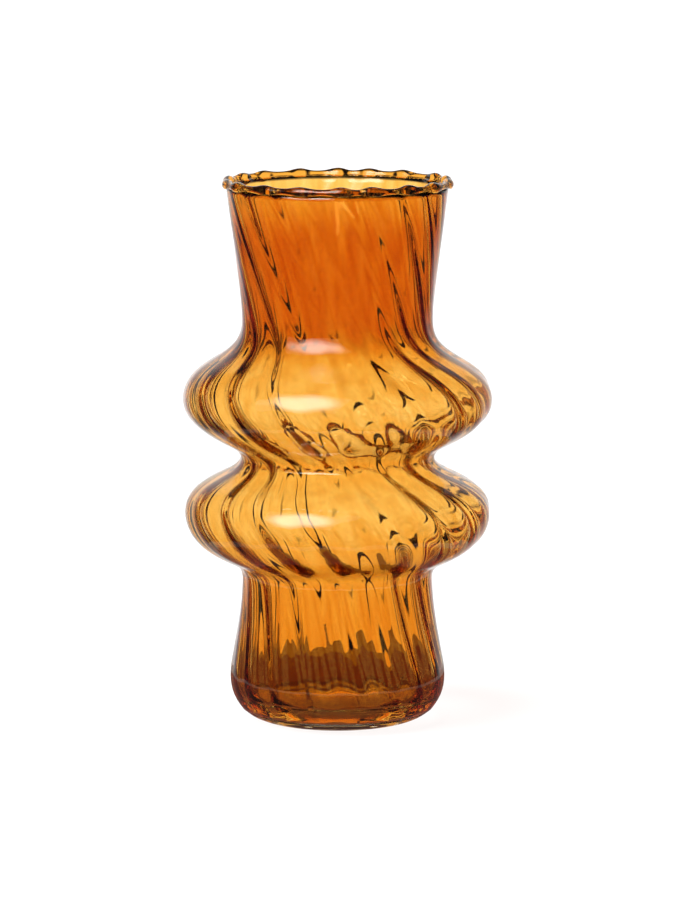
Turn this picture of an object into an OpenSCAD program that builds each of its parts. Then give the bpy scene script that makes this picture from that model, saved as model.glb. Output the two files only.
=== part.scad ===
// Blown glass vase with two pinched waists: a clear casing over an amber
// lining, an amber lip bead on the rim and a clear pad under the foot.
// The vase stands on z = 0 and its axis is Z. All sizes are in millimetres.

/* [Overall] */
// Height of the whole vase, from the table to the top of the lip bead
vase_h = 250; // [215:1:310]
// Outer diameter of the upper bulge, the widest ring of the vase
bulge_high_d = 141.6; // [110:0.2:175]

/* [Foot] */
// Outer diameter of the ring that the vase rests on
rest_d = 56; // [44:1:72]
// Outer diameter of the foot at its widest ring
foot_d = 98.6; // [84:0.2:124]
// Height of the foot's widest ring
foot_z = 20; // [16:0.5:26]
// Height of the foot, up to the lower waist
foot_h = 69.5; // [56:0.5:88]

/* [Waists and bulges] */
// Outer diameter at the lower waist
waist_low_d = 86.8; // [70:0.2:105]
// Outer diameter of the lower bulge
bulge_low_d = 140; // [110:0.2:175]
// Height from the lower waist to the lower bulge
bulge_low_h = 27.5; // [23:0.5:36]
// Outer diameter at the upper waist
waist_high_d = 86.4; // [70:0.2:105]
// Height from the lower bulge to the upper waist
waist_high_h = 25.5; // [21:0.5:34]
// Height from the upper waist to the upper bulge
bulge_high_h = 26; // [22:0.5:34]

/* [Neck] */
// Outer diameter of the neck at its narrowest ring
neck_d = 86.8; // [70:0.2:105]
// Height from the upper bulge to the neck's narrowest ring
neck_low_h = 34; // [29:0.5:44]
// Outer diameter of the wall at the rim
rim_d = 101; // [84:0.2:124]
// Lean of the wall at the rim, in degrees, where 90 is upright
rim_lean = 84; // [78:0.5:90]

/* [Curves] */
// How far the outline runs on level past the resting ring
heel_reach = 11.6; // [8:0.2:15]
// How far the outline runs on upright below and above the foot's widest ring
foot_reach = [14.4, 8]; // [4:0.2:18]
// The same at the lower waist
waist_low_reach = [22, 4.8]; // [4:0.2:26]
// The same at the lower bulge
bulge_low_reach = [20.6, 16]; // [12:0.2:24]
// The same at the upper waist
waist_high_reach = [9.2, 4.4]; // [4:0.2:12]
// The same at the upper bulge
bulge_high_reach = [15.5, 18.7]; // [12:0.2:22]
// The same at the neck
neck_reach = [16.4, 16.4]; // [8:0.2:20]
// How far the outline holds the rim's lean, going down from the rim
rim_reach = 22; // [8:0.5:30]

/* [Glass] */
// Thickness of the clear casing
casing_t = 2.2; // [1.6:0.1:3.2]
// Thickness of the amber lining's wall
lining_t = 0.9; // [0.6:0.1:1.6]
// Thickness of the amber lining's floor
lining_floor_t = 1.8; // [1:0.1:3]
// Level radius that the lining's floor has before it turns up
lining_floor_r = 32; // [26:0.5:38]
// Thickness of the clear pad, from the table to the lining
pad_t = 5.5; // [4:0.1:8]
// Depth of the hollow ground into the pad's underside
pontil_depth = 1.8; // [1:0.1:2.6]
// Width of the ground ring that touches the table
rest_w = 4; // [3:0.5:6]

/* [Lip bead] */
// Thickness of the glass thread round the rim
bead_t = 3.8; // [3.4:0.1:6]
// Diameter of each swelling on the thread
swelling_d = 5.6; // [5:0.1:7]
// Number of swellings, one to each optic rib
swellings = 18; // [12:1:24]
// How far the thread's middle hangs outwards of the middle of the wall
bead_overhang = 1.3; // [0:0.1:2]
// How deep the rim stands in the swellings, measured from their tops
rim_depth = 4; // [3:0.1:5]

/* [Hidden] */
$fn = 96;

// Steps in each span of an outline
span_steps = 12;

// Heights of the rings, stacked from the foot
waist_low_z = foot_h;
bulge_low_z = waist_low_z + bulge_low_h;
waist_high_z = bulge_low_z + waist_high_h;
bulge_high_z = waist_high_z + bulge_high_h;
neck_z = bulge_high_z + neck_low_h;
rim_z = vase_h - rim_depth;

wall_t = casing_t + lining_t;

// The outer outline's rings: radius, height, lean, reach below, reach above
rings = [
    [rest_d / 2, 0, 0, 0, heel_reach],
    [foot_d / 2, foot_z, 90, foot_reach[0], foot_reach[1]],
    [waist_low_d / 2, waist_low_z, 90, waist_low_reach[0], waist_low_reach[1]],
    [bulge_low_d / 2, bulge_low_z, 90, bulge_low_reach[0], bulge_low_reach[1]],
    [waist_high_d / 2, waist_high_z, 90, waist_high_reach[0], waist_high_reach[1]],
    [bulge_high_d / 2, bulge_high_z, 90, bulge_high_reach[0], bulge_high_reach[1]],
    [neck_d / 2, neck_z, 90, neck_reach[0], neck_reach[1]],
    [rim_d / 2, rim_z, rim_lean, rim_reach, 0]
];

// A point and a direction on a cubic curve with ends a and d and handles b and c
function curve_point(a, b, c, d, t) =
    pow(1 - t, 3) * a + 3 * pow(1 - t, 2) * t * b + 3 * (1 - t) * t * t * c + pow(t, 3) * d;
function curve_direction(a, b, c, d, t) =
    pow(1 - t, 2) * (b - a) + 2 * (1 - t) * t * (c - b) + t * t * (d - c);

function heading(lean) = [cos(lean), sin(lean)];
function inwards(direction) = [-direction[1], direction[0]] / norm(direction);

// A span from one ring to the next, moved inwards by depth
function span(low, high, depth) =
    let (
        a = [low[0], low[1]],
        b = a + low[4] * heading(low[2]),
        d = [high[0], high[1]],
        c = d - high[3] * heading(high[2])
    )
    [for (i = [1 : span_steps])
        let (t = i / span_steps)
        curve_point(a, b, c, d, t) + depth * inwards(curve_direction(a, b, c, d, t))];

// The outline from ring number first up to the rim, moved inwards by depth
function outline(first, depth) =
    [for (i = [first : len(rings) - 2]) each span(rings[i], rings[i + 1], depth)];

// The stretch of a rising path between two heights, cut level at both ends
function radius_at(path, z) = lookup(z, [for (p = path) [p[1], p[0]]]);
function stretch(path, low, high) = concat(
    [[radius_at(path, low), low]],
    [for (p = path) if (p[1] > low && p[1] < high) p],
    [[radius_at(path, high), high]]
);

// The turn from the lining's floor up into its wall, moved inwards by depth
function floor_turn(depth, floor_z) =
    let (
        a = [lining_floor_r, floor_z],
        d = [foot_d / 2 - depth, foot_z],
        b = [(a[0] + d[0]) / 2, a[1]],
        c = [d[0], (a[1] + d[1]) / 2]
    )
    [for (i = [0 : span_steps]) curve_point(a, b, c, d, i / span_steps)];

outer = concat([[rest_d / 2, 0]], outline(0, 0));
lining_outer = concat(floor_turn(casing_t, pad_t),
    stretch(outline(1, casing_t), foot_z + 1, rim_z));
lining_inner = concat(floor_turn(wall_t, pad_t + lining_floor_t),
    stretch(outline(1, wall_t), foot_z + 1, rim_z));

function reversed(path) = [for (i = [len(path) - 1 : -1 : 0]) path[i]];

// The outer clear gather, from the pad up to the rim
module clear_casing() {
    color([0.90, 0.94, 0.95])
        rotate_extrude()
            polygon(concat(stretch(outer, pad_t, rim_z), reversed(lining_outer)));
}

// The inner amber gather, a cup with a rounded floor
module amber_lining() {
    color([0.86, 0.42, 0.06])
        rotate_extrude()
            polygon(concat([[0, pad_t]], lining_outer, reversed(lining_inner),
                [[0, pad_t + lining_floor_t]]));
}

// The clear pad under the foot, with a shallow ground hollow underneath
module base_pad() {
    hollow_r = rest_d / 2 - rest_w;
    hollow = [for (i = [0 : span_steps])
        let (a = 90 * i / span_steps)
        [hollow_r * sin(a), pontil_depth * pow(cos(a), 2)]];
    color([0.84, 0.90, 0.92])
        rotate_extrude()
            polygon(concat(hollow, stretch(outer, 0, pad_t), [[0, pad_t]]));
}

// The amber thread laid round the rim, swollen once at each optic rib
module lip_bead() {
    middle_r = (radius_at(outer, rim_z) + lining_inner[len(lining_inner) - 1][0]) / 2;
    thread_r = middle_r + bead_overhang;
    thread_z = vase_h - swelling_d / 2;
    color([0.78, 0.34, 0.05])
        difference() {
            union() {
                rotate_extrude()
                    translate([thread_r, thread_z])
                        circle(d = bead_t);
                for (i = [0 : swellings - 1])
                    rotate([0, 0, i * 360 / swellings])
                        translate([thread_r, 0, thread_z])
                            sphere(d = swelling_d);
            }
            rim_wall();
        }
}

// Both walls' top end, as one ring that the lip bead is seated on
module rim_wall() {
    rim_low_z = rim_z - 2 * swelling_d;
    rotate_extrude()
        polygon(concat(stretch(outer, rim_low_z, rim_z),
            reversed(stretch(lining_inner, rim_low_z, rim_z))));
}

clear_casing();
amber_lining();
base_pad();
lip_bead();
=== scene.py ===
# %% [markdown]
# # A blown glass vase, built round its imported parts
# The vase is four lots of glass fused hot: an amber lining, a clear casing over it, a clear pad
# under the foot and an amber thread round the rim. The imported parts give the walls' outlines. They
# have no optic ribs, so the work here is what the glassblower's mould and hands add: ribs that twist
# on their way down, ripples, a soft uneven lip, and glass that bends light.

# %% The frame
import math
import random

import bmesh
import bpy
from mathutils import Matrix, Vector


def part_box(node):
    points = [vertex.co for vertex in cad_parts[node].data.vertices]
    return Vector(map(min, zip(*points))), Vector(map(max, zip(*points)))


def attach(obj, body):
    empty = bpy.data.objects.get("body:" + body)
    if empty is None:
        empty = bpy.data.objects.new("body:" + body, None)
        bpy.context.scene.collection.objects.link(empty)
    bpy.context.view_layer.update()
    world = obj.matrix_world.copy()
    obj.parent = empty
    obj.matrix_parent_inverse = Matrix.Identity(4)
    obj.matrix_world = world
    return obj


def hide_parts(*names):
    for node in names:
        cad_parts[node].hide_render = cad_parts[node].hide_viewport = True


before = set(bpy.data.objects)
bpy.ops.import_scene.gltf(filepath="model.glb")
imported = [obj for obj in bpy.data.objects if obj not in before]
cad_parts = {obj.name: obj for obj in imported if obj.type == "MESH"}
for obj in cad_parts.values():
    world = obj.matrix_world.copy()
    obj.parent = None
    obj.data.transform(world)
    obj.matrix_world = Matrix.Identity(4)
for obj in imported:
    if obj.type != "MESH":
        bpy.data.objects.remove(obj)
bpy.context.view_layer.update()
MM = 0.001

# %% [markdown]
# The camera comes first, because everything after it is judged through it. A long lens from two
# metres away, a little above the vase, keeps the rim's ellipse narrow.

# %% The camera
CAMERA_DISTANCE = 2.007
CAMERA_HEIGHT = 0.428
CAMERA_DIP = math.radians(8.6)
CAMERA_LENS = 236.5

camera_data = bpy.data.cameras.new("camera")
camera_data.lens = CAMERA_LENS
camera_data.sensor_fit = "HORIZONTAL"
camera_data.sensor_width = 36
camera_data.clip_end = 50
camera = bpy.data.objects.new("camera", camera_data)
camera.location = (0, -CAMERA_DISTANCE, CAMERA_HEIGHT)
camera.rotation_euler = (math.pi / 2 - CAMERA_DIP, 0, 0)
bpy.context.scene.collection.objects.link(camera)
bpy.context.scene.camera = camera

# %% [markdown]
# The walls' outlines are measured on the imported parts. A ray shot level at the axis finds the outside
# of a wall at a height, and a ray shot outwards from the axis finds its inside.

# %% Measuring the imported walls
FAR = 0.2
OFF_AXIS = 0.0003
JUST_INSIDE = 0.05 * MM
boxes = {node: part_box(node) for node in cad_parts}


def level_ray(node, z, start, heading):
    """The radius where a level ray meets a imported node."""
    low, high = boxes[node]
    z = min(max(z, low.z + JUST_INSIDE), high.z - JUST_INSIDE)
    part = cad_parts[node]
    _, place, _, _ = part.ray_cast(Vector((start, OFF_AXIS, z)), Vector((heading, 0, 0)))
    return place.x


def outer_radius(z):
    """The outside of the clear casing at a height."""
    return level_ray("clear_casing", z, FAR, -1)


def seam_radius(z):
    """Where the casing meets the lining at a height."""
    return level_ray("clear_casing", z, 0, 1)


def bore_radius(z):
    """The inside of the amber lining at a height."""
    return level_ray("amber_lining", z, 0, 1)


def heel_radius(z):
    """The outside of the base pad at a height."""
    return level_ray("base_pad", z, FAR, -1)


PAD_TOP = boxes["base_pad"][1].z
RIM_Z = boxes["clear_casing"][1].z
VASE_TOP = boxes["lip_bead"][1].z
print("pad top", round(PAD_TOP / MM, 2), "rim", round(RIM_Z / MM, 2), "top", round(VASE_TOP / MM, 2))

# %% [markdown]
# A wall's path is a list of points, each a radius and a height. They are spaced evenly along the wall
# and not by height, so the shoulders of the bulges get as many rings as the upright neck.

# %% Paths up a wall
def climb(radius_at, low, high, pitch):
    """Points up a wall from one height to another, about a pitch apart along it."""
    step = 0.1 * MM
    z, r = low, radius_at(low)
    path, run = [(r, z)], 0.0
    while z < high - step:
        z += step
        new_r = radius_at(z)
        run += math.hypot(step, new_r - r)
        r = new_r
        if run >= pitch:
            path.append((r, z))
            run = 0.0
    if high - path[-1][1] < pitch / 2:
        path.pop()
    return path + [(radius_at(high), high)]


def across(start, end, count):
    """Points in a straight line from one radius and height to another, without the first."""
    return [tuple(a + (b - a) * i / count for a, b in zip(start, end)) for i in range(1, count + 1)]


# %% [markdown]
# The optic mould has 18 ribs. Glass is blown into it, taken out, and turned while the bottom is held,
# so each rib leans. The turn is measured down from the rim. The mould was cut by hand, and hot glass
# runs, so no rib is quite where it should be: each one wanders by up to three degrees, and some stand
# deeper than others.

# %% The optic mould
RIBS = 18
COLUMNS_PER_RIB = 8
COLUMNS = RIBS * COLUMNS_PER_RIB
TWIST_NECK = 0.53
TWIST_BULGES = 0.62
TWIST_FOOT = 0.27
NECK_LOW_Z = 0.183
WAIST_LOW_Z = 0.0695
MOULD_SEED = 11
MOST_WANDER = 3.2
LEAST_DEPTH, MOST_DEPTH = 0.7, 1.3
RIB_HEIGHT = 1.75
RIB_HOLLOW = 0.75
RIB_SHARPNESS = 1.6

mould = random.Random(MOULD_SEED)
rib_wander = [mould.uniform(-MOST_WANDER, MOST_WANDER) for _ in range(RIBS)]
rib_depth = [mould.uniform(LEAST_DEPTH, MOST_DEPTH) for _ in range(RIBS)]


def turned(z):
    """Degrees that the ribs have turned, from the rim down to a height."""
    neck = min(max(RIM_Z - z, 0), RIM_Z - NECK_LOW_Z)
    bulges = min(max(NECK_LOW_Z - z, 0), NECK_LOW_Z - WAIST_LOW_Z)
    foot = max(WAIST_LOW_Z - z, 0)
    return (neck * TWIST_NECK + bulges * TWIST_BULGES + foot * TWIST_FOOT) / MM


def between_ribs(values, column):
    """A value that each rib has, eased from one rib to the next round the ring."""
    place = column / COLUMNS_PER_RIB
    a, b = int(place) % RIBS, (int(place) + 1) % RIBS
    share = (1 - math.cos(math.pi * (place - int(place)))) / 2
    return values[a] * (1 - share) + values[b] * share


def rib_wave(column):
    """How far a column stands in from the wall: 1 on a rib's narrow crest, -0.75 between ribs."""
    crest = (1 + math.cos(math.tau * column / COLUMNS_PER_RIB)) / 2
    return RIB_HEIGHT * crest ** RIB_SHARPNESS - RIB_HOLLOW


def ease(low, high, x):
    """0 below low, 1 above high, and a smooth change between."""
    t = min(max((x - low) / (high - low), 0), 1)
    return t * t * (3 - 2 * t)


# %% [markdown]
# How deep the ribs stay differs up the vase. Here they are deepest at the waists and on the shoulders
# of the bulges, softer round each bulge's widest part, half as deep in the neck, and nearly gone at
# the floor. Each pair below is a height in millimetres and the share of the mould's depth left there.

# %% How much of the ribs is left
RIB_LEFT = [(0, 0.15), (7, 0.15), (20, 0.7), (58, 0.8), (72, 1), (98, 0.85), (112, 1), (122, 1),
    (134, 1), (148, 0.85), (164, 1), (182, 0.75), (200, 0.5), (250, 0.5)]


def rib_left(z):
    """The share of the mould's rib depth that is left at a height."""
    for (low, a), (high, b) in zip(RIB_LEFT, RIB_LEFT[1:]):
        if z / MM <= high:
            return a + (b - a) * ease(low, high, z / MM)
    return 1


# %% [markdown]
# Every skin of glass is modelled the same way, as a potter raises a wall. A circle is scalloped once by
# the mould. Its ring is then extruded, scaled and turned to each height in the path, and the ribs of
# each ring are let out by a pull towards a true circle, which is what blowing does to them.

# %% Picking rings and raising a wall
def only(piece):
    """Deselects everything, then makes one piece active."""
    bpy.ops.object.select_all(action="DESELECT")
    piece.select_set(True)
    bpy.context.view_layer.objects.active = piece


def pick(piece, rings, columns=range(COLUMNS)):
    """In edit mode, selects some columns of some rings, counted in the order they were made."""
    mesh = bmesh.from_edit_mesh(piece.data)
    for v in mesh.verts:
        v.select = v.index // COLUMNS in rings and v.index % COLUMNS in columns
    mesh.select_flush_mode()
    bmesh.update_edit_mesh(piece.data)


def turn(degrees, z):
    """Turns the selection about the axis, anticlockwise from above."""
    bpy.ops.transform.rotate(value=-math.radians(degrees), orient_axis="Z",
        orient_type="GLOBAL", center_override=(0, 0, z))


def scale_ring(factor, z):
    """Scales the selection about the axis, in plan only."""
    bpy.ops.transform.resize(value=(factor, factor, 1), center_override=(0, 0, z))


def scalloped_ring(name, radius, z, scallop):
    """The first ring, pressed into ribs by the mould and left in edit mode."""
    bpy.ops.object.select_all(action="DESELECT")
    bpy.ops.mesh.primitive_circle_add(vertices=COLUMNS, radius=radius, location=(0, 0, z))
    piece = bpy.context.active_object
    piece.name = piece.data.name = name
    bpy.ops.object.transform_apply(location=True, rotation=True, scale=True)
    bpy.ops.object.mode_set(mode="EDIT")
    bpy.ops.mesh.select_mode(type="VERT")
    for column in range(COLUMNS):
        pick(piece, [0], [column])
        scale_ring(1 - scallop * rib_wave(column) * between_ribs(rib_depth, column), z)
        turn(between_ribs(rib_wander, column), z)
    bpy.ops.mesh.select_all(action="SELECT")
    return piece


def raise_wall(name, path, scallop, left):
    """A wall raised ring by ring along a path. left gives the share of the scallop that a ring keeps."""
    radius, z = path[0]
    piece = scalloped_ring(name, radius, z, scallop)
    turn(turned(z), z)
    for new_radius, new_z in path[1:]:
        bpy.ops.mesh.extrude_region_move(TRANSFORM_OT_translate={"value": (0, 0, new_z - z)})
        scale_ring(new_radius / radius, new_z)
        turn(turned(new_z) - turned(z), new_z)
        radius, z = new_radius, new_z
    for number, (radius, z) in enumerate(path):
        share = left(number, radius, z)
        if share < 1:
            pick(piece, [number])
            bpy.ops.transform.tosphere(value=1 - share, center_override=(0, 0, z))
    return piece


# %% [markdown]
# A wall becomes a closed solid in one of two ways: its last ring is bridged back to its first, as on
# the casing, or both end rings are drawn to a point on the axis, as on the lining and the pad. Rings
# where one skin turns into another are creased, so that the subdivision leaves them crisp.

# %% Closing, creasing and smoothing
def bridge_ends(piece, last):
    """Joins the first and last rings of a wall with a band of faces."""
    pick(piece, [0, last])
    bpy.ops.mesh.bridge_edge_loops()


def close_poles(piece, last):
    """Draws each end ring together to one point on the axis."""
    for ring in (last, 0):
        pick(piece, [ring])
        bpy.ops.mesh.merge(type="CENTER")


def crease(piece, rings):
    """Keeps these rings' edges crisp under the subdivision."""
    for ring in rings:
        pick(piece, [ring])
        bpy.ops.transform.edge_crease(value=1)


def coat(piece, finishes, first, last):
    """Gives the band of faces between two rings the first finish, and the rest the second."""
    for finish in finishes:
        piece.data.materials.append(finish)
    bpy.ops.mesh.select_all(action="SELECT")
    piece.active_material_index = 1
    bpy.ops.object.material_slot_assign()
    pick(piece, range(first, last + 1))
    piece.active_material_index = 0
    bpy.ops.object.material_slot_assign()


def refine(piece):
    """Turns the cage into smooth glass."""
    bpy.ops.mesh.select_all(action="SELECT")
    bpy.ops.mesh.normals_make_consistent(inside=False)
    bpy.ops.object.mode_set(mode="OBJECT")
    smoother = piece.modifiers.new("smooth glass", "SUBSURF")
    smoother.levels = smoother.render_levels = 1
    only(piece)
    bpy.ops.object.modifier_apply(modifier=smoother.name)
    bpy.ops.object.shade_smooth()
    low, high = Vector(piece.bound_box[0]), Vector(piece.bound_box[6])
    print(piece.name, len(piece.data.polygons), "faces", [round(v / MM, 2) for v in (*low, *high)])


# %% [markdown]
# ## The finishes
# Amber glass takes its colour from depth: light that goes through twice as much glass is dimmed twice
# over, blue first and red last. So one unit of amber is a colour, and the Gamma node raises it to the
# power of the depth. The amber is deepest in the neck and round the floor, less so at the waists and
# least in the bulges, and the floor's underside is nearly clear. Fine cords of deeper and paler amber
# run straight down, across the ribs' slant. The lining and the lip both use this, so it is a node group.

# %% The amber group
AMBER_UNIT = (0.67, 0.275, 0.027, 1)
AMBER_DEPTHS = [(0, 0.03), (5.8, 0.03), (7.2, 1.1), (9.5, 0.74), (58, 0.68), (74, 0.58),
    (88, 0.42), (104, 0.38), (121, 0.56), (134, 0.44), (150, 0.38), (163, 0.52), (180, 1.06),
    (222, 1.04), (238, 0.74), (250, 0.66)]
DEPTH_LIMIT = 250
CORDS_PER_METRE, CORD_DRAWN = 170, 0.12


def add(tree, kind, **values):
    """A node with some of its inputs set or linked, by name."""
    node = tree.nodes.new(kind)
    for name, value in values.items():
        socket = node.inputs[name.replace("_", " ")]
        if isinstance(value, bpy.types.NodeSocket):
            tree.links.new(value, socket)
        else:
            socket.default_value = value
    return node


def sums(tree, operation, a, b):
    """The result of a Math node on two values or sockets."""
    node = tree.nodes.new("ShaderNodeMath")
    node.operation = operation
    for socket, value in zip(node.inputs, (a, b)):
        if isinstance(value, bpy.types.NodeSocket):
            tree.links.new(value, socket)
        else:
            socket.default_value = value
    return node.outputs[0]


def fill_ramp(ramp, stops):
    """Sets a grey colour ramp's stops, each a place from 0 to 1 and a brightness."""
    while len(ramp.elements) < len(stops):
        ramp.elements.new(1)
    for element, (place, value) in zip(ramp.elements, stops):
        element.position = place
        element.color = (value, value, value, 1)


amber = bpy.data.node_groups.new("amber by depth", "ShaderNodeTree")
amber.interface.new_socket("Thickness", in_out="INPUT", socket_type="NodeSocketFloat")
amber.interface.new_socket("Cords", in_out="INPUT", socket_type="NodeSocketFloat")
amber.interface.new_socket("Colour", in_out="OUTPUT", socket_type="NodeSocketColor")
given = amber.nodes.new("NodeGroupInput")
place = amber.nodes.new("ShaderNodeTexCoord")
height = add(amber, "ShaderNodeSeparateXYZ", Vector=place.outputs["Object"])
share = sums(amber, "DIVIDE", height.outputs["Z"], DEPTH_LIMIT * MM)
depth = add(amber, "ShaderNodeValToRGB", Fac=share)
depth.color_ramp.interpolation = "EASE"
fill_ramp(depth.color_ramp, [(z / DEPTH_LIMIT, value) for z, value in AMBER_DEPTHS])
drawn = add(amber, "ShaderNodeMapping", Vector=place.outputs["Object"], Scale=(1, 1, CORD_DRAWN))
cords = add(amber, "ShaderNodeTexNoise", Vector=drawn.outputs[0], Scale=CORDS_PER_METRE, Detail=3)
cord = sums(amber, "MULTIPLY", sums(amber, "SUBTRACT", cords.outputs["Fac"], 0.5),
    given.outputs["Cords"])
thick = sums(amber, "MULTIPLY", depth.outputs["Color"], sums(amber, "ADD", cord, 1))
power = sums(amber, "MULTIPLY", thick, given.outputs["Thickness"])
colour = add(amber, "ShaderNodeGamma", Color=AMBER_UNIT, Gamma=power)
result = amber.nodes.new("NodeGroupOutput")
amber.links.new(colour.outputs[0], result.inputs["Colour"])
for units in (1, 2, 3):
    print("amber", units, "deep:", [round(channel ** units, 3) for channel in AMBER_UNIT[:3]])

# %% [markdown]
# A glassblower's surface is fire-polished but never flat: cooling leaves a fine ripple that shows only
# in reflections. It is one group, with its size and height as inputs, and it puts out a normal.

# %% The fire-polish group
RIPPLE_HEIGHT = 0.4 * MM

polish = bpy.data.node_groups.new("fire polish", "ShaderNodeTree")
polish.interface.new_socket("Ripples per metre", in_out="INPUT", socket_type="NodeSocketFloat")
polish.interface.new_socket("Strength", in_out="INPUT", socket_type="NodeSocketFloat")
polish.interface.new_socket("Normal", in_out="OUTPUT", socket_type="NodeSocketVector")
given = polish.nodes.new("NodeGroupInput")
place = polish.nodes.new("ShaderNodeTexCoord")
ripple = add(polish, "ShaderNodeTexNoise", Vector=place.outputs["Object"],
    Scale=given.outputs["Ripples per metre"], Detail=2)
bump = add(polish, "ShaderNodeBump", Height=ripple.outputs["Fac"],
    Strength=given.outputs["Strength"], Distance=RIPPLE_HEIGHT)
result = polish.nodes.new("NodeGroupOutput")
polish.links.new(bump.outputs["Normal"], result.inputs["Normal"])

# %% [markdown]
# Every face that meets the air is glass that bends light. Lamps would be blocked by it, so a Light
# Path switch lets their rays straight through with a tint, which gives a soft, pale shadow.

# %% Glass that bends light
GLASS_IOR = 1.5


def new_finish(name):
    """An empty material with its output, ready for nodes."""
    finish = bpy.data.materials.new(name)
    finish.use_nodes = True
    finish.node_tree.nodes.clear()
    return finish, finish.node_tree, finish.node_tree.nodes.new("ShaderNodeOutputMaterial")


def use_group(tree, group, **values):
    """A group node with its inputs set by name."""
    node = tree.nodes.new("ShaderNodeGroup")
    node.node_tree = group
    for name, value in values.items():
        node.inputs[name.replace("_", " ")].default_value = value
    return node.outputs[0]


def glass(name, shadow, ripples, strength, tint=None, **amber_values):
    """Clear glass of a plain tint, or amber glass if amber's values are given."""
    finish, tree, output = new_finish(name)
    normal = use_group(tree, polish, Ripples_per_metre=ripples, Strength=strength)
    body = add(tree, "ShaderNodeBsdfPrincipled", Roughness=0, IOR=GLASS_IOR,
        Transmission_Weight=1, Normal=normal)
    if tint:
        body.inputs["Base Color"].default_value = tint
    else:
        tree.links.new(use_group(tree, amber, **amber_values), body.inputs["Base Color"])
    passing = add(tree, "ShaderNodeBsdfTransparent", Color=shadow)
    path = tree.nodes.new("ShaderNodeLightPath")
    switch = add(tree, "ShaderNodeMixShader", Fac=path.outputs["Is Shadow Ray"])
    tree.links.new(body.outputs[0], switch.inputs[1])
    tree.links.new(passing.outputs[0], switch.inputs[2])
    tree.links.new(switch.outputs[0], output.inputs["Surface"])
    return finish


# %% [markdown]
# Where two gathers are fused there is no surface at all, so light doesn't bend there. Such a seam is a
# Transparent shader. On the lining's side it still holds half of the amber, and the other half is on
# the bore, where Principled glass tints light by the square root of its colour at each crossing. A
# lamp's rays cross a seam untinted, because the faces that meet the air have tinted them.

# %% Seams that don't bend light
def seam(name, **amber_values):
    """A fused seam, clear, or amber if amber's values are given."""
    finish, tree, output = new_finish(name)
    through = add(tree, "ShaderNodeBsdfTransparent", Color=(1, 1, 1, 1))
    if amber_values:
        tree.links.new(use_group(tree, amber, **amber_values), through.inputs["Color"])
    lamp_light = add(tree, "ShaderNodeBsdfTransparent", Color=(1, 1, 1, 1))
    path = tree.nodes.new("ShaderNodeLightPath")
    switch = add(tree, "ShaderNodeMixShader", Fac=path.outputs["Is Shadow Ray"])
    tree.links.new(through.outputs[0], switch.inputs[1])
    tree.links.new(lamp_light.outputs[0], switch.inputs[2])
    tree.links.new(switch.outputs[0], output.inputs["Surface"])
    return finish


clear_glass = glass("clear casing glass", shadow=(0.82, 0.78, 0.76, 1), ripples=90, strength=0.05,
    tint=(0.975, 0.985, 0.985, 1))
# The pad's grey-blue tint is partly the glass's own tint and partly painted shade. It is darkened far past
# clear glass to stand in for the dark surroundings that the heel reflects.
pad_glass = glass("pad glass with painted shade", shadow=(0.9, 0.88, 0.87, 1), ripples=60, strength=0.03,
    tint=(0.6, 0.66, 0.7, 1))
clear_seam = seam("clear seam")
amber_glass = glass("amber lining glass", shadow=(0.9, 0.85, 0.83, 1), ripples=120, strength=0.08,
    Thickness=1, Cords=0.9)
amber_seam = seam("amber seam", Thickness=0.5, Cords=0.9)
lip_glass = glass("amber lip glass", shadow=(0.98, 0.93, 0.86, 1), ripples=200, strength=0.06,
    Thickness=1.4, Cords=0.4)

# %% [markdown]
# ## The clear casing
# The casing is the outer gather. Its outside was smoothed by the fire, so the ribs barely show there;
# they are on its inner side, where it meets the amber. One wall goes up the outside, over the rim and
# down the seam, and is bridged shut at the bottom. The seams stand a hair apart, so no two faces lie
# in one place. Smoothing draws a curve in, so the outside is let out a little first.

# %% The clear casing
PITCH = 4.6 * MM
HAIR = 0.03 * MM
OUTSIDE_SCALLOP = 0.004
SEAM_SCALLOP = 0.016
BORE_SCALLOP = 0.026
LET_OUT = 1.002

outside = [(r * LET_OUT, z) for r, z in climb(outer_radius, PAD_TOP, RIM_Z, PITCH)]
inside = [(r + HAIR, z) for r, z in reversed(climb(seam_radius, PAD_TOP, RIM_Z, PITCH))]
last, top = len(outside + inside) - 1, len(outside) - 1
casing = raise_wall("casing", outside + inside, SEAM_SCALLOP,
    lambda n, r, z: rib_left(z) * (OUTSIDE_SCALLOP / SEAM_SCALLOP if n <= top else 1))
bridge_ends(casing, last)
crease(casing, [0, top, top + 1, last])
coat(casing, [clear_glass, clear_seam], 0, top)
refine(casing)

# %% [markdown]
# ## The amber lining
# The lining is a thin cup: floor, wall, and the bore inside it. The bore holds the ribs at their full
# depth and a ripple from the blowing, one ring a little wider than the next, which breaks up what is
# seen through it. The ripple is drawn by a seeded hand, so it is the same each time.

# %% The amber lining
HAND_SEED = 5
FLOOR_RINGS = 7
POLE = 1 * MM
RIPPLE = 0.10 * MM
FLOOR_THICKNESS = 1.8 * MM
FLOOR_TOP = PAD_TOP + FLOOR_THICKNESS

hand = random.Random(HAND_SEED)
wall = [(r - HAIR, z) for r, z in climb(seam_radius, PAD_TOP + HAIR, RIM_Z, PITCH)]
bore = [(r + hand.uniform(-RIPPLE, RIPPLE), z)
    for r, z in reversed(climb(bore_radius, FLOOR_TOP + HAIR, RIM_Z, PITCH))]
under = [(POLE, PAD_TOP + HAIR)] + across((POLE, PAD_TOP + HAIR), wall[0], FLOOR_RINGS)[:-1]
floor_rings = across(bore[-1], (POLE, bore[-1][1]), FLOOR_RINGS)
path = under + wall + bore + floor_rings
top, last = len(under + wall) - 1, len(path) - 1
FLOOR_EDGE = wall[0][0]
lining = raise_wall("lining", path, BORE_SCALLOP,
    lambda n, r, z: rib_left(z) * min(1, r / FLOOR_EDGE)
    * (SEAM_SCALLOP / BORE_SCALLOP if n <= top else 1))
crease(lining, [top, top + 1])
coat(lining, [amber_glass, amber_seam], top + 1, last)
close_poles(lining, last)
refine(lining)

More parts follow.
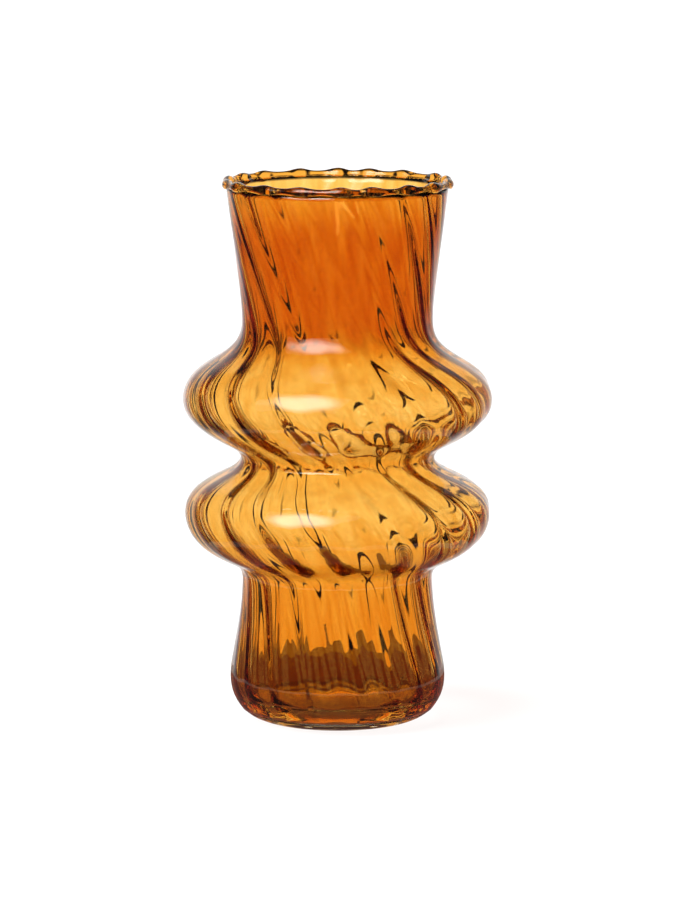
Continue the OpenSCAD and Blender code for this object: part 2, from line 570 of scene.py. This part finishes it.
# %% [markdown]
# ## The clear pad
# Under the floor is a thick pad of clear glass. Its underside has the shallow ground hollow where the
# pontil iron was broken off, a flat ring that the vase stands on, and the round heel.

# %% The clear pad
HOLLOW_RINGS = 8
HEEL_PITCH = 2.2 * MM
REST_WIDTH = 4 * MM
HOLLOW_DEPTH = 1.8 * MM
HEEL_RIBS_FROM = 4 * MM

heel = [(r * LET_OUT, z) for r, z in climb(heel_radius, HAIR, PAD_TOP - HAIR, HEEL_PITCH)]
heel[0] = (heel[0][0], 0)
hollow_edge = heel[0][0] - REST_WIDTH
turns = [math.pi / 2 * i / HOLLOW_RINGS for i in range(HOLLOW_RINGS + 1)]
hollow = [(max(hollow_edge * math.sin(t), POLE), HOLLOW_DEPTH * math.cos(t) ** 2) for t in turns]
lid = across(heel[-1], (POLE, PAD_TOP - HAIR), FLOOR_RINGS)
path = hollow + [(hollow_edge + REST_WIDTH / 2, 0)] + heel + lid
top, last = len(path) - len(lid) - 1, len(path) - 1
pad = raise_wall("pad", path, OUTSIDE_SCALLOP,
    lambda n, r, z: ease(0, HEEL_RIBS_FROM, z) * (r > hollow_edge))
crease(pad, [top])
coat(pad, [pad_glass, clear_seam], 0, top)
close_poles(pad, last)
refine(pad)

# %% [markdown]
# ## The lip
# A thread of amber was laid round the hot rim and fire-polished. Over each rib there was more glass, so
# the thread swells into a soft bead there and draws thin between. It starts on the wall's outer corner,
# goes over the top and ends on the inner corner. Then each slice of it is swollen or drawn about the
# thread's own middle. All of it bends light, even its underside, where it is fused to the wall.

# %% The lip
THREAD = 2.1 * MM
SWELL = 0.4
SWELL_RANGE, SWELL_MIDDLE = 1.6, 0.8
OUTWARDS, BELOW_TOP = 0.5 * MM, 0.1 * MM
SLICES = 16
START_ANGLE, END_ANGLE = -60, 190

rim_out, rim_in = outer_radius(RIM_Z) * LET_OUT, bore_radius(RIM_Z)
middle = boxes["lip_bead"][1].x - THREAD * (1 + SWELL) + OUTWARDS
middle_z = VASE_TOP - THREAD * (1 + SWELL) - BELOW_TOP
angles = [START_ANGLE + (END_ANGLE - START_ANGLE) * i / SLICES for i in range(SLICES + 1)]
round_path = [
    (middle + THREAD * math.cos(math.radians(a)), middle_z + THREAD * math.sin(math.radians(a)))
    for a in angles]
path = [(rim_out, RIM_Z)] + round_path + [(rim_in, RIM_Z)]
last = len(path) - 1
lip = raise_wall("lip", path, BORE_SCALLOP,
    lambda n, r, z: 1 if n == last else OUTSIDE_SCALLOP / BORE_SCALLOP)
for column in range(COLUMNS):
    pick(lip, range(1, last), [column])
    mesh = bmesh.from_edit_mesh(lip.data)
    corner = next(v.co for v in mesh.verts if v.select)
    heading = math.atan2(corner.y, corner.x)
    swelling = SWELL_RANGE * (rib_wave(column) + RIB_HOLLOW) / RIB_HEIGHT - SWELL_MIDDLE
    amount = 1 + SWELL * swelling * between_ribs(rib_depth, column)
    bpy.ops.transform.resize(value=(amount, amount, amount),
        center_override=(middle * math.cos(heading), middle * math.sin(heading), middle_z))
bridge_ends(lip, last)
crease(lip, [0, last])
coat(lip, [lip_glass, clear_seam], 0, last)
refine(lip)

# %% [markdown]
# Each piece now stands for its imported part. This waits until all four are made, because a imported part
# is hidden once it is replaced, and its outline can't be measured any more.

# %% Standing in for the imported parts
for piece, node, slot in ((casing, "clear_casing", "clear_glass"), (lining, "amber_lining", "amber_glass"),
        (pad, "base_pad", "pad_glass"), (lip, "lip_bead", "lip_glass")):
    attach(piece, "root")
    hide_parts(node)
    piece.visible_diffuse = False

# %% [markdown]
# ## The studio
# Glass shows its surroundings more than itself. What stands behind it has to be bright, or amber looks
# black, and dark gaps beside the bright parts draw the ribs' dark streaks. Only the rays that have been
# through glass see the gaps. The camera and the floor see plain white.

# %% The floor, and the table under the glass with its painted shade and painted light
FLOOR_SIZE = 30
FLOOR_WHITE = (0.93, 0.93, 0.93, 1)
TABLE_RADIUS = 0.178
TABLE_SIDES = 96
TABLE_DROP = 0.5 * MM
# Only rays through the glass see the table. No lamp lights it: it glows. Its brown middle is painted
# shade, the table darkened in the vase's shadow, and its tan rim is painted light on the table's far edge.
TABLE_PAINTED_SHADE = (0.24, 0.115, 0.1, 1)
TABLE_PAINTED_RIM_LIGHT = (0.46, 0.43, 0.4, 1)
RIM_LIGHT_FROM, RIM_LIGHT_TO = 0.135, 0.143

bpy.ops.object.select_all(action="DESELECT")
bpy.ops.mesh.primitive_plane_add(size=FLOOR_SIZE)
floor = bpy.context.active_object
floor.name = "floor"
floor_finish, tree, output = new_finish("white floor")
matt = add(tree, "ShaderNodeBsdfDiffuse", Color=FLOOR_WHITE)
tree.links.new(matt.outputs[0], output.inputs["Surface"])
floor.data.materials.append(floor_finish)
floor.visible_transmission = floor.visible_glossy = False

bpy.ops.mesh.primitive_circle_add(vertices=TABLE_SIDES, radius=TABLE_RADIUS,
    location=(0, 0, -TABLE_DROP), fill_type="NGON")
table = bpy.context.active_object
table.name = "table"
# Painted shade and light: the disc glows brown in the middle and tan towards the rim, and no lamp lights
# it.
table_finish, tree, output = new_finish("table glow with painted shade and light")
spot = tree.nodes.new("ShaderNodeTexCoord")
reach = add(tree, "ShaderNodeVectorMath", Vector=spot.outputs["Object"])
reach.operation = "LENGTH"
edge = add(tree, "ShaderNodeMapRange", Value=reach.outputs["Value"], From_Min=RIM_LIGHT_FROM, From_Max=RIM_LIGHT_TO)
shade = tree.nodes.new("ShaderNodeMix")
shade.data_type = "RGBA"
tree.links.new(edge.outputs["Result"], shade.inputs["Factor"])
shade.inputs[6].default_value = TABLE_PAINTED_SHADE
shade.inputs[7].default_value = TABLE_PAINTED_RIM_LIGHT
glow = add(tree, "ShaderNodeEmission", Color=shade.outputs[2])
tree.links.new(glow.outputs[0], output.inputs["Surface"])
table.data.materials.append(table_finish)
table.visible_camera = table.visible_shadow = table.visible_diffuse = False

# %% [markdown]
# The room is a world shader with three faces. The camera and matt surfaces see plain white. Rays that
# left through glass see bright panels all round with dark gaps between them, which draw the ribs' dark
# streaks. Reflections see a dim room, so only the softbox shines on the front, and a white backdrop on
# the far side from the main view, which gives the outline its pale edge there. Lamp sampling of the
# room is off, because it can't tell these kinds of ray apart.

# %% The room
WHITE_ROOM = 0.85
CAMERA_EXTRA = 0.2
DIM_ROOM = 0.06
BACKDROP = 1
BACKDROP_FROM, BACKDROP_TO = 0.7, 0.98
PANELS = 8
PANEL_EDGE_DARK, PANEL_EDGE_BRIGHT = -0.6, -0.2
PANEL_DARK, PANEL_BRIGHT = 0.01, 1.65
ROOM_UP = [(-90, 0.06), (-38, 0.1), (-22, 1), (22, 1), (36, 0.12), (90, 0.06)]

world = bpy.data.worlds.new("studio")
bpy.context.scene.world = world
world.use_nodes = True
world.cycles.sampling_method = "NONE"
tree = world.node_tree
tree.nodes.clear()
towards = tree.nodes.new("ShaderNodeTexCoord")
way = add(tree, "ShaderNodeSeparateXYZ", Vector=towards.outputs["Generated"])
bearing = sums(tree, "ARCTAN2", way.outputs["X"], way.outputs["Y"])
panel_wave = sums(tree, "COSINE", sums(tree, "MULTIPLY", bearing, PANELS), 0)
panel = add(tree, "ShaderNodeMapRange", Value=panel_wave, From_Min=PANEL_EDGE_DARK,
    From_Max=PANEL_EDGE_BRIGHT, To_Min=PANEL_DARK, To_Max=PANEL_BRIGHT)
lift = sums(tree, "ARCSINE", way.outputs["Z"], 0)
up_share = sums(tree, "ADD", sums(tree, "DIVIDE", lift, math.pi), 0.5)
up_ramp = add(tree, "ShaderNodeValToRGB", Fac=up_share)
fill_ramp(up_ramp.color_ramp, [((degrees + 90) / 180, value) for degrees, value in ROOM_UP])
bright = sums(tree, "MULTIPLY", panel.outputs["Result"], up_ramp.outputs["Color"])
seen_through = add(tree, "ShaderNodeBackground", Color=(1, 1, 1, 1), Strength=bright)
backdrop = add(tree, "ShaderNodeMapRange", Value=way.outputs["Y"], From_Min=BACKDROP_FROM,
    From_Max=BACKDROP_TO, To_Min=DIM_ROOM, To_Max=BACKDROP)
mirrored = add(tree, "ShaderNodeBackground", Color=(1, 1, 1, 1), Strength=backdrop.outputs["Result"])
path_kind = tree.nodes.new("ShaderNodeLightPath")
extra = sums(tree, "MULTIPLY", path_kind.outputs["Is Camera Ray"], CAMERA_EXTRA)
white = sums(tree, "ADD", extra, WHITE_ROOM)
plain = add(tree, "ShaderNodeBackground", Color=(1, 1, 1, 1), Strength=white)


def either(factor, no, yes):
    """A Mix Shader between two shaders."""
    mix = add(tree, "ShaderNodeMixShader", Fac=factor)
    tree.links.new(no.outputs[0], mix.inputs[1])
    tree.links.new(yes.outputs[0], mix.inputs[2])
    return mix


through_or_not = either(path_kind.outputs["Is Transmission Ray"], mirrored, seen_through)
direct = sums(tree, "MAXIMUM", path_kind.outputs["Is Camera Ray"], path_kind.outputs["Is Diffuse Ray"])
whole = either(direct, through_or_not, plain)
room = tree.nodes.new("ShaderNodeOutputWorld")
tree.links.new(whole.outputs[0], room.inputs["Surface"])

# %% [markdown]
# One large softbox stands in front on the left, high up, and feathers away towards its edges. It is
# what shines on the shoulders of the bulges. A second, weaker lamp only lights the floor, so that the
# vase stands in a faint shadow to its right. Light that the floor scatters passes the glass by. If it
# met the glass, it would spread an orange glow round the foot.

# %% The softbox and the floor lamp
VASE_MIDDLE = Vector((0, 0, 0.13))
SOFTBOX_BEARING, SOFTBOX_LIFT, SOFTBOX_AWAY = -30, 40, 1.2
SOFTBOX_SIZE = 1.3
SOFTBOX_STRENGTH = 10
SOFTBOX_VEIL = 0.6
FEATHER_FROM, FEATHER_TO = 0.2, 0.7
SILK_WHITE = (1, 0.98, 0.95, 1)
LAMP_ENERGY = 1.6
LAMP_SPREAD = math.radians(35)
LAMP_PLACE = (-0.5, -0.3, 1.5)

bpy.ops.mesh.primitive_grid_add(x_subdivisions=8, y_subdivisions=8, size=SOFTBOX_SIZE)
softbox = bpy.context.active_object
softbox.name = "softbox"
bearing_angle, lift_angle = math.radians(SOFTBOX_BEARING), math.radians(SOFTBOX_LIFT)
softbox.location = VASE_MIDDLE + SOFTBOX_AWAY * Vector((
    math.sin(bearing_angle) * math.cos(lift_angle),
    -math.cos(bearing_angle) * math.cos(lift_angle),
    math.sin(lift_angle)))
softbox.rotation_euler = (softbox.location - VASE_MIDDLE).to_track_quat("Z", "Y").to_euler()
silk, tree, output = new_finish("softbox silk")
spot = tree.nodes.new("ShaderNodeTexCoord")
from_middle = add(tree, "ShaderNodeVectorMath", Vector=spot.outputs["Object"])
from_middle.operation = "LENGTH"
feather = add(tree, "ShaderNodeMapRange", Value=from_middle.outputs["Value"],
    From_Min=FEATHER_FROM, From_Max=FEATHER_TO, To_Min=SOFTBOX_STRENGTH, To_Max=SOFTBOX_VEIL)
feather.interpolation_type = "SMOOTHSTEP"
glow = add(tree, "ShaderNodeEmission", Color=SILK_WHITE, Strength=feather.outputs["Result"])
tree.links.new(glow.outputs[0], output.inputs["Surface"])
softbox.data.materials.append(silk)
softbox.visible_camera = softbox.visible_diffuse = softbox.visible_shadow = False
softbox.visible_transmission = False

lamp_data = bpy.data.lights.new("floor lamp", "SUN")
lamp_data.energy = LAMP_ENERGY
lamp_data.angle = LAMP_SPREAD
lamp = bpy.data.objects.new("floor lamp", lamp_data)
lamp.location = LAMP_PLACE
lamp.rotation_euler = (lamp.location - VASE_MIDDLE).to_track_quat("Z", "Y").to_euler()
lamp.visible_glossy = lamp.visible_transmission = False
bpy.context.scene.collection.objects.link(lamp)

# %% [markdown]
# Light crosses eight faces of glass on its way through the vase, and more where it is trapped in a
# wall, so it is allowed many bounces. The Standard view keeps white white.

# %% Bounces and view
scene = bpy.context.scene
scene.view_settings.view_transform = "Standard"
scene.cycles.max_bounces = scene.cycles.transmission_bounces = 40
scene.cycles.glossy_bounces = 24
scene.cycles.transparent_max_bounces = 64
